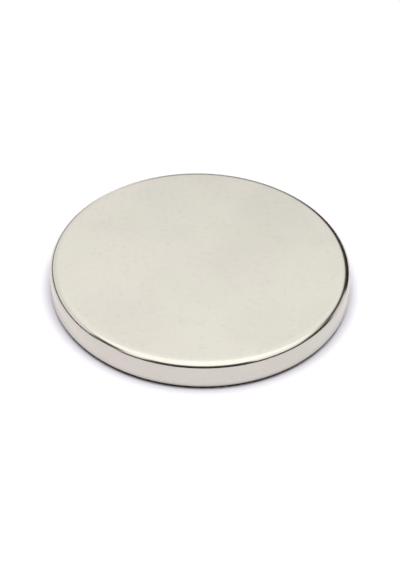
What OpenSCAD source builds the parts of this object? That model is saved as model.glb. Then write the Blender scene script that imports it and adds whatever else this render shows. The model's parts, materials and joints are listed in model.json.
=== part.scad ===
// Disc magnet: one pressed, sintered and plated disc with two flat pole faces, a plain round
// wall and a tumbled rounding where each face meets the wall. It lies on its lower pole face,
// with the origin at the middle of that face and +Z along its axis. Sizes are in millimetres
// and are taken over the plating.

/* [Disc] */
// Outside diameter of the disc
disc_d = 18; // [8:0.5:60]
// Thickness from pole face to pole face
disc_t = 2; // [1.5:0.1:12]

/* [Edge] */
// Radius of the tumbled rounding at the rim of each pole face
edge_r = 0.5; // [0.1:0.05:0.7]

/* [Hidden] */
// Radius of the plain wall
disc_r = disc_d / 2;
// Radius of the flat part of a pole face
face_r = disc_r - edge_r;
// Height of the plain wall between its two roundings
wall_h = disc_t - 2 * edge_r;
// Bright nickel plate: a light, slightly warm grey
plating_colour = [0.87, 0.855, 0.81];
// Sides of each circle
$fn = 240;

// Half of the disc's section, beside its axis: the core under the pole faces, the band that
// ends in the plain wall, and the round that joins the wall to each face
module half_section() {
    square([face_r, disc_t]);
    translate([0, edge_r])
        square([disc_r, wall_h]);
    for (round_z = [edge_r, disc_t - edge_r])
        translate([face_r, round_z])
            circle(r = edge_r);
}

// The magnet, turned from its half section
module magnet_disc() {
    color(plating_colour)
        rotate_extrude()
            half_section();
}

magnet_disc();
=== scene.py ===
import json
import math
from typing import NamedTuple

import bmesh
import bpy
from bpy.props import FloatProperty, FloatVectorProperty, IntProperty, PointerProperty
from mathutils import Matrix, Vector


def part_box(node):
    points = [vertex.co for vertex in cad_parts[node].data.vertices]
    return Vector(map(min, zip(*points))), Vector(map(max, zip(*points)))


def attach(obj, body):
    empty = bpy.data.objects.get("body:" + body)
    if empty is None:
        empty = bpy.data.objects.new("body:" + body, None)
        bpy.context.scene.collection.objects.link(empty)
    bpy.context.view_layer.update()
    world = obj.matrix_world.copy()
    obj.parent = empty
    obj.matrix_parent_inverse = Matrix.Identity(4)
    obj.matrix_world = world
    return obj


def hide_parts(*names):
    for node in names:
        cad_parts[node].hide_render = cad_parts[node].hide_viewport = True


bl_info = {
    "name": "Disc Magnet",
    "version": (1, 0, 0),
    "blender": (4, 5, 0),
    "location": "3D View > Sidebar > Magnet",
    "description": "Models a nickel-plated disc magnet and sets it on a pale floor in a light tent",
    "category": "Add Mesh",
}

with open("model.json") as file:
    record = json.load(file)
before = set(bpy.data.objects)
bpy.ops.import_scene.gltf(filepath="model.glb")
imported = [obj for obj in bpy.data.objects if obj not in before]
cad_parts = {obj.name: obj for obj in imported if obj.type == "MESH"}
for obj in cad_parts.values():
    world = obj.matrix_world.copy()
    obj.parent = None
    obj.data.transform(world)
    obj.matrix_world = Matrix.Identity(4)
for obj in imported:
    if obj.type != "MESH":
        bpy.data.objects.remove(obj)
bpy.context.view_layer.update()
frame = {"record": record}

DISC_NODE = "magnet_disc"
MILLIMETRE = 0.001
MERGE_DISTANCE = 0.0001 * MILLIMETRE
FLOOR_SIDES = 64
ROOF_EDGE = math.radians(60)
ZENITH = math.radians(90)

disc_low, disc_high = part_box(DISC_NODE)
disc_diameter = disc_high.x - disc_low.x
disc_thickness = disc_high.z - disc_low.z
rim_mount = next(mount for mount in frame["record"]["mounts"] if mount["name"] == "rim")
wall_height = rim_mount["dims"]["length_mm"] * MILLIMETRE


class TentCard(NamedTuple):
    """A soft-edged panel or gap in the light tent, by degrees: azimuth 0 is the back, 90 the right."""

    name: str
    azimuth: float
    elevation: float
    half_width: float
    half_height: float
    softness: float
    brightness: float


TENT_CARDS = (
    TentCard("front_panel", 180, 65, 97, 33, 6, 1.66),
    TentCard("left_wall", -62, 12, 52, 28, 10, 1.08),
    TentCard("back_wall", 40, 15, 48, 22, 9, 0.93),
    TentCard("back_shade", 8, 9, 14, 22, 3, 0.45),
    TentCard("back_right_shade", 34, 9, 21, 23, 4, 0.05),
    TentCard("right_bar", 66, 24, 14, 9, 3, 0.05),
    TentCard("right_shade", 90, 5, 13, 19, 4, 0.12),
    TentCard("front_shade", 179, 8, 37, 21, 3, 0.12),
    TentCard("left_stand", 246, 20, 12, 13, 3, 0.05),
    TentCard("back_right_gap", 34, 0, 21, 13, 2, 0.01),
    TentCard("right_gap", 90, 0, 13, 12, 2, 0.01),
    TentCard("front_gap", 167, 0, 67, 14, 2, 0.01),
    TentCard("left_gap", 282, 0, 30, 9, 3, 0.04),
    TentCard("back_left_gap", 326, -1, 18, 8, 3, 0.05),
)


class DiscShape(bpy.types.PropertyGroup):
    """Sizes of the disc"""

    diameter: FloatProperty(
        name="Diameter",
        description="Outside diameter over the plating",
        default=disc_diameter,
        min=0.0,
        unit="LENGTH",
        precision=5,
    )
    thickness: FloatProperty(
        name="Thickness",
        description="Distance between the two pole faces",
        default=disc_thickness,
        min=0.0,
        unit="LENGTH",
        precision=5,
    )
    edge_radius: FloatProperty(
        name="Edge Radius",
        description="Radius of the tumbled rounding at the rim of each pole face",
        default=(disc_thickness - wall_height) / 2,
        min=0.0,
        unit="LENGTH",
        precision=5,
    )
    support_width: FloatProperty(
        name="Support Width",
        description="Width of the narrow band of faces that keeps the flats flat beside each rounding",
        default=0.1 * MILLIMETRE,
        min=0.0,
        unit="LENGTH",
        precision=5,
    )
    rim_steps: IntProperty(
        name="Rim Steps",
        description="Faces round the rim",
        default=320,
        min=12,
    )
    edge_steps: IntProperty(
        name="Edge Steps",
        description="Faces across each rounding",
        default=28,
        min=2,
    )


class NickelFinish(bpy.types.PropertyGroup):
    """Colour and surface of the nickel plating"""

    plate_colour: FloatVectorProperty(
        name="Plate Colour",
        description="Colour that the plating gives to what it mirrors",
        default=(0.614, 0.598, 0.528),
        subtype="COLOR",
        min=0.0,
        max=1.0,
    )
    cloud_colour: FloatVectorProperty(
        name="Cloud Colour",
        description="Slightly warmer colour of the faint clouds in the plating",
        default=(0.637, 0.598, 0.537),
        subtype="COLOR",
        min=0.0,
        max=1.0,
    )
    cloud_size: FloatProperty(
        name="Cloud Size",
        description="Width of the faint clouds in the plating",
        default=5 * MILLIMETRE,
        min=0.0001,
        unit="LENGTH",
        precision=5,
    )
    # shade_depth paints the hazy patches darker as a painted dim reflection; the haze they add to the
    # roughness is real.
    shade_depth: FloatProperty(
        name="Shade Depth",
        description="How much darker the plating is in its dull patches",
        default=0.035,
        min=0.0,
        max=1.0,
        subtype="FACTOR",
    )
    fleck_size: FloatProperty(
        name="Fleck Size",
        description="Width of the fine flecks in the plating",
        default=0.3 * MILLIMETRE,
        min=0.00001,
        unit="LENGTH",
        precision=5,
    )
    fleck_depth: FloatProperty(
        name="Fleck Depth",
        description="How much darker the flecks are",
        default=0.04,
        min=0.0,
        max=1.0,
        subtype="FACTOR",
    )
    roughness: FloatProperty(
        name="Roughness",
        description="Roughness of the clearest plating",
        default=0.14,
        min=0.0,
        max=1.0,
        subtype="FACTOR",
    )
    haze: FloatProperty(
        name="Haze",
        description="Roughness that the dull patches add",
        default=0.04,
        min=0.0,
        max=1.0,
        subtype="FACTOR",
    )
    wave_size: FloatProperty(
        name="Wave Size",
        description="Length of the soft waves that tumbling leaves under the plating",
        default=1.2 * MILLIMETRE,
        min=0.0001,
        unit="LENGTH",
        precision=5,
    )
    wave_height: FloatProperty(
        name="Wave Height",
        description="Height of those waves",
        default=0.0007 * MILLIMETRE,
        min=0.0,
        unit="LENGTH",
        precision=7,
    )


class StudioSetup(bpy.types.PropertyGroup):
    """Floor, light tent and camera"""

    floor_colour: FloatVectorProperty(
        name="Floor Colour",
        description="Pale colour of the floor",
        default=(0.89, 0.865, 0.905),
        subtype="COLOR",
        min=0.0,
        max=1.0,
    )
    floor_radius: FloatProperty(
        name="Floor Radius",
        description="Radius of the floor sheet",
        default=40 * MILLIMETRE,
        min=0.0,
        unit="LENGTH",
    )
    floor_gap: FloatProperty(
        name="Floor Gap",
        description="How far the floor lies under the disc",
        default=0.005 * MILLIMETRE,
        min=0.0,
        unit="LENGTH",
        precision=7,
    )
    roof_brightness: FloatProperty(
        name="Roof Brightness",
        description="Brightness of the tent straight overhead",
        default=1.48,
        min=0.0,
    )
    wall_brightness: FloatProperty(
        name="Wall Brightness",
        description="Brightness of the tent's walls",
        default=1.31,
        min=0.0,
    )
    softbox_strength: FloatProperty(
        name="Softbox Strength",
        description="Strength of the softbox over the floor",
        default=3.82,
        min=0.0,
    )
    softbox_width: FloatProperty(
        name="Softbox Width",
        description="Angle that the softbox spans, seen from the floor",
        default=math.radians(54),
        subtype="ANGLE",
    )
    softbox_elevation: FloatProperty(
        name="Softbox Elevation",
        description="Angle of the softbox above the floor",
        default=math.radians(82),
        subtype="ANGLE",
    )
    softbox_azimuth: FloatProperty(
        name="Softbox Azimuth",
        description="Angle of the softbox round the disc, from the back wall to the right",
        default=math.radians(180),
        subtype="ANGLE",
    )
    elevation: FloatProperty(
        name="Camera Elevation",
        description="Angle of the camera above the floor",
        default=math.radians(40.86),
        subtype="ANGLE",
    )
    roll: FloatProperty(
        name="Camera Roll",
        description="Turn of the camera about its line of sight",
        default=math.radians(1.47),
        subtype="ANGLE",
    )
    distance: FloatProperty(
        name="Camera Distance",
        description="Distance from the camera to the middle of the disc's base",
        default=107.9 * MILLIMETRE,
        min=0.0,
        unit="LENGTH",
    )
    focal_length: FloatProperty(
        name="Focal Length",
        description="Focal length of the lens on a 36 mm sensor",
        default=112.7,
        min=1.0,
        unit="CAMERA",
    )
    aim_height: FloatProperty(
        name="Aim Height",
        description="Height above the floor of the point in the middle of the picture",
        default=0.12 * MILLIMETRE,
        unit="LENGTH",
        precision=5,
    )


class MagnetSettings(bpy.types.PropertyGroup):
    """All settings of the disc magnet"""

    shape: PointerProperty(type=DiscShape)
    finish: PointerProperty(type=NickelFinish)
    studio: PointerProperty(type=StudioSetup)


class Value:
    """A number in a shader: an output socket on which Python's operators add Math nodes."""

    def __init__(self, graph, socket):
        self.graph = graph
        self.socket = socket

    def math(self, operation, *others):
        """Add a Math node with this value first."""
        sockets = dict(enumerate((self, *others)))
        return self.graph.node("ShaderNodeMath", {"operation": operation}, sockets)

    def __add__(self, other):
        return self.math("ADD", other)

    __radd__ = __add__

    def __mul__(self, other):
        return self.math("MULTIPLY", other)

    __rmul__ = __mul__

    def __sub__(self, other):
        return self.math("SUBTRACT", other)

    def __rsub__(self, other):
        return self.math("MULTIPLY_ADD", -1.0, other)

    def __abs__(self):
        return self.math("ABSOLUTE")

    def ramp(self, start, end):
        """Rise smoothly from 0 at start to 1 at end; start may be the larger."""
        sockets = {"Value": self, "From Min": start, "From Max": end}
        return self.graph.node("ShaderNodeMapRange", {"interpolation_type": "SMOOTHSTEP"}, sockets)


class Graph:
    """The node tree of a material or world, emptied and ready for new nodes."""

    def __init__(self, owner):
        owner.use_nodes = True
        self.tree = owner.node_tree
        self.tree.nodes.clear()

    def node(self, kind, settings=None, sockets=None, output=0):
        """Add a node: its settings first, then the values or links of its sockets. Gives one output."""
        made = self.tree.nodes.new(kind)
        for name, setting in (settings or {}).items():
            setattr(made, name, setting)
        for key, value in (sockets or {}).items():
            if isinstance(value, Value):
                self.tree.links.new(value.socket, made.inputs[key])
            else:
                made.inputs[key].default_value = value
        return Value(self, made.outputs[output]) if made.outputs else None


MIX_COLOUR_A = 6
MIX_COLOUR_B = 7
MIX_COLOUR_RESULT = 2
OPAQUE = (1.0,)
BLACK = (0.0, 0.0, 0.0, 1.0)
WHITE = (1.0, 1.0, 1.0, 1.0)

PATCH_EDGES = (0.35, 0.65)
FLECK_EDGES = (0.5, 0.75)
CLOUD_SEED = 24
# Seed of the patches that add real haze to the roughness and a painted dim reflection to the colour.
HAZE_AND_REFLECTION_SEED = 36
FLECK_SEED = 0
WAVE_SEED = 0


def draw_to(section, end, x, z):
    """Carry the section's line straight to a point and give its new end."""
    new_end = bmesh.ops.extrude_vert_indiv(section, verts=[end])["verts"][0]
    new_end.co = (x, 0.0, z)
    return new_end


def round_corner(section, end, x, z, steps):
    """Carry the section's line through a quarter round about a point and give its new end."""
    turned = bmesh.ops.spin(
        section,
        geom=[end],
        cent=(x, 0.0, z),
        axis=(0.0, 1.0, 0.0),
        angle=math.pi / 2,
        steps=steps,
    )
    return turned["geom_last"][0]


def turn_disc(shape):
    """Draw the disc's half section from axis to axis and turn it about the axis."""
    radius = shape.diameter / 2
    top = shape.thickness
    edge = shape.edge_radius
    support = shape.support_width
    face_radius = radius - edge
    section = bmesh.new()
    end = section.verts.new((0.0, 0.0, top))
    end = draw_to(section, end, face_radius - support, top)
    end = draw_to(section, end, face_radius, top)
    end = round_corner(section, end, face_radius, top - edge, shape.edge_steps)
    end = draw_to(section, end, radius, top - edge - support)
    end = draw_to(section, end, radius, edge + support)
    end = draw_to(section, end, radius, edge)
    end = round_corner(section, end, face_radius, edge, shape.edge_steps)
    end = draw_to(section, end, face_radius - support, 0.0)
    draw_to(section, end, 0.0, 0.0)
    bmesh.ops.spin(
        section,
        geom=section.verts[:] + section.edges[:],
        cent=(0.0, 0.0, 0.0),
        axis=(0.0, 0.0, 1.0),
        angle=2 * math.pi,
        steps=shape.rim_steps,
        use_merge=True,
    )
    bmesh.ops.remove_doubles(section, verts=section.verts[:], dist=MERGE_DISTANCE)
    bmesh.ops.recalc_face_normals(section, faces=section.faces[:])
    return finish_mesh(section, "plated_disc")


def finish_mesh(shaped, name):
    """Turn a bmesh into a smooth-shaded object at the origin."""
    for face in shaped.faces:
        face.smooth = True
    mesh = bpy.data.meshes.new(name)
    shaped.to_mesh(mesh)
    shaped.free()
    made = bpy.data.objects.new(name, mesh)
    bpy.context.scene.collection.objects.link(made)
    return made


def add_noise(graph, place, size, seed):
    """Smooth patches about as wide as size, with values from 0 to 1. Another seed lays them elsewhere."""
    sockets = {"Vector": place, "W": seed, "Scale": 1 / size}
    return graph.node("ShaderNodeTexNoise", {"noise_dimensions": "4D"}, sockets)


def mix_colours(graph, factor, first, second):
    """Go from the first colour to the second as the factor goes from 0 to 1."""
    sockets = {"Factor": factor, MIX_COLOUR_A: first, MIX_COLOUR_B: second}
    return graph.node("ShaderNodeMix", {"data_type": "RGBA"}, sockets, MIX_COLOUR_RESULT)


def mix_nickel_plating(finish):
    """Bright nickel plate: faint warm clouds, hazy patches with a painted dim reflection and fine flecks
    over a softly waved surface.
    """
    material = bpy.data.materials.new("nickel_plating")
    graph = Graph(material)
    place = graph.node("ShaderNodeTexCoord", output="Object")
    plain = add_noise(graph, place, finish.cloud_size, CLOUD_SEED).ramp(*PATCH_EDGES)
    # Patches that add real haze to the roughness and paint a dim reflection into the colour as darker
    # plating.
    haze_and_painted_reflection = add_noise(graph, place, finish.cloud_size, HAZE_AND_REFLECTION_SEED).ramp(*reversed(PATCH_EDGES))
    flecks = add_noise(graph, place, finish.fleck_size, FLECK_SEED).ramp(*FLECK_EDGES)
    waves = add_noise(graph, place, finish.wave_size, WAVE_SEED)
    cloud_colour = tuple(finish.cloud_colour) + OPAQUE
    plate_colour = tuple(finish.plate_colour) + OPAQUE
    clouded = mix_colours(graph, plain, cloud_colour, plate_colour)
    # Darkening: the painted dim reflection of the hazy patches plus the flecks' own darker tone.
    darkness = haze_and_painted_reflection * finish.shade_depth + flecks * finish.fleck_depth
    colour = mix_colours(graph, darkness, clouded, BLACK)
    relief = graph.node("ShaderNodeBump", sockets={"Height": waves, "Distance": finish.wave_height})
    plating = graph.node(
        "ShaderNodeBsdfPrincipled",
        sockets={
            "Base Color": colour,
            "Metallic": 1.0,
            "Roughness": finish.roughness + haze_and_painted_reflection * finish.haze,
            "Normal": relief,
        },
    )
    graph.node("ShaderNodeOutputMaterial", sockets={"Surface": plating})
    return material


def lay_floor(studio):
    """Lay a plain pale floor just under the disc."""
    sheet = bmesh.new()
    bmesh.ops.create_circle(sheet, cap_ends=True, segments=FLOOR_SIDES, radius=studio.floor_radius)
    bmesh.ops.translate(sheet, verts=sheet.verts[:], vec=(0.0, 0.0, -studio.floor_gap))
    floor = finish_mesh(sheet, "floor")
    paper = bpy.data.materials.new("pale_floor")
    graph = Graph(paper)
    surface = graph.node(
        "ShaderNodeBsdfDiffuse",
        sockets={"Color": tuple(studio.floor_colour) + OPAQUE},
    )
    graph.node("ShaderNodeOutputMaterial", sockets={"Surface": surface})
    floor.data.materials.append(paper)


def hang_softbox(studio):
    """Light the floor from a broad softbox overhead. The plating mirrors the tent instead."""
    lamp = bpy.data.lights.new("softbox", "SUN")
    lamp.angle = studio.softbox_width
    lamp.energy = studio.softbox_strength
    softbox = bpy.data.objects.new("softbox", lamp)
    tilt = math.pi / 2 - studio.softbox_elevation
    softbox.rotation_euler = (tilt, 0.0, math.pi - studio.softbox_azimuth)
    softbox.visible_glossy = False
    bpy.context.scene.collection.objects.link(softbox)


def card_mask(card, azimuth, elevation):
    """How much of a tent card lies in a direction, from 0 to 1."""
    across = (azimuth - math.radians(card.azimuth)).math("WRAP", math.pi, -math.pi)
    up = elevation - math.radians(card.elevation)
    soft = math.radians(card.softness)
    half_width = math.radians(card.half_width)
    half_height = math.radians(card.half_height)
    within_width = abs(across).ramp(half_width + soft, half_width - soft)
    within_height = abs(up).ramp(half_height + soft, half_height - soft)
    return within_width * within_height


def hang_light_tent(studio):
    """Hang the tent that the plating mirrors. It leaves the floor unlit, and the camera sees it white."""
    world = bpy.data.worlds.new("light_tent")
    graph = Graph(world)
    direction = graph.node("ShaderNodeTexCoord", output="Generated")
    x, y, z = (graph.node("ShaderNodeSeparateXYZ", sockets={0: direction}, output=k) for k in range(3))
    azimuth = x.math("ARCTAN2", y)
    elevation = z.math("ARCSINE")
    rise = elevation.ramp(ROOF_EDGE, ZENITH)
    brightness = studio.wall_brightness + rise * (studio.roof_brightness - studio.wall_brightness)
    for card in TENT_CARDS:
        brightness = brightness + (card.brightness - brightness) * card_mask(card, azimuth, elevation)
    seen = graph.node("ShaderNodeLightPath", output="Is Camera Ray")
    brightness = brightness + (1.0 - brightness) * seen
    light = graph.node("ShaderNodeBackground", sockets={"Strength": brightness, "Color": WHITE})
    graph.node("ShaderNodeOutputWorld", sockets={"Surface": light})
    world.cycles_visibility.diffuse = False
    bpy.context.scene.world = world


def place_camera(studio):
    """Look down at the disc from the front, at the photograph's angle."""
    lens = bpy.data.cameras.new("camera")
    lens.lens = studio.focal_length
    lens.clip_start = 1 * MILLIMETRE
    camera = bpy.data.objects.new("camera", lens)
    back = Vector((0.0, -math.cos(studio.elevation), math.sin(studio.elevation)))
    position = back * studio.distance
    aim = Vector((0.0, 0.0, studio.aim_height))
    facing = (aim - position).to_track_quat("-Z", "Y").to_matrix().to_4x4()
    camera.matrix_world = Matrix.Translation(position) @ facing @ Matrix.Rotation(studio.roll, 4, "Z")
    bpy.context.scene.collection.objects.link(camera)
    bpy.context.scene.camera = camera


class MAGNET_OT_add_disc(bpy.types.Operator):
    """Turn the disc from its half section and plate it with nickel"""

    bl_idname = "magnet.add_disc"
    bl_label = "Add Disc"
    bl_options = {"REGISTER", "UNDO"}

    def execute(self, context):
        settings = context.scene.magnet
        disc = turn_disc(settings.shape)
        disc.data.materials.append(mix_nickel_plating(settings.finish))
        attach(disc, "root")
        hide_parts(DISC_NODE)
        return {"FINISHED"}


class MAGNET_OT_set_stage(bpy.types.Operator):
    """Lay the floor, hang the softbox and the light tent, and place the camera"""

    bl_idname = "magnet.set_stage"
    bl_label = "Set Stage"
    bl_options = {"REGISTER", "UNDO"}

    def execute(self, context):
        settings = context.scene.magnet
        studio = settings.studio
        lay_floor(studio)
        hang_softbox(studio)
        hang_light_tent(studio)
        place_camera(studio)
        context.scene.view_settings.view_transform = "Standard"
        context.scene.cycles.caustics_reflective = False
        return {"FINISHED"}


class MAGNET_PT_panel(bpy.types.Panel):
    """Settings and operators of the disc magnet"""

    bl_idname = "MAGNET_PT_panel"
    bl_label = "Disc Magnet"
    bl_space_type = "VIEW_3D"
    bl_region_type = "UI"
    bl_category = "Magnet"

    def draw(self, context):
        settings = context.scene.magnet
        groups = {"Shape": settings.shape, "Finish": settings.finish, "Studio": settings.studio}
        for title, group in groups.items():
            box = self.layout.box()
            box.label(text=title)
            for name in group.bl_rna.properties.keys():
                if name not in ("rna_type", "name"):
                    box.prop(group, name)
        for operator in (MAGNET_OT_add_disc, MAGNET_OT_set_stage):
            self.layout.operator(operator.bl_idname)


CLASSES = (
    DiscShape,
    NickelFinish,
    StudioSetup,
    MagnetSettings,
    MAGNET_OT_add_disc,
    MAGNET_OT_set_stage,
    MAGNET_PT_panel,
)


def register():
    for cls in CLASSES:
        bpy.utils.register_class(cls)
    bpy.types.Scene.magnet = PointerProperty(type=MagnetSettings)


def unregister():
    del bpy.types.Scene.magnet
    for cls in reversed(CLASSES):
        bpy.utils.unregister_class(cls)


def main():
    register()
    bpy.ops.magnet.add_disc()
    bpy.ops.magnet.set_stage()


if __name__ == "__main__":
    main()
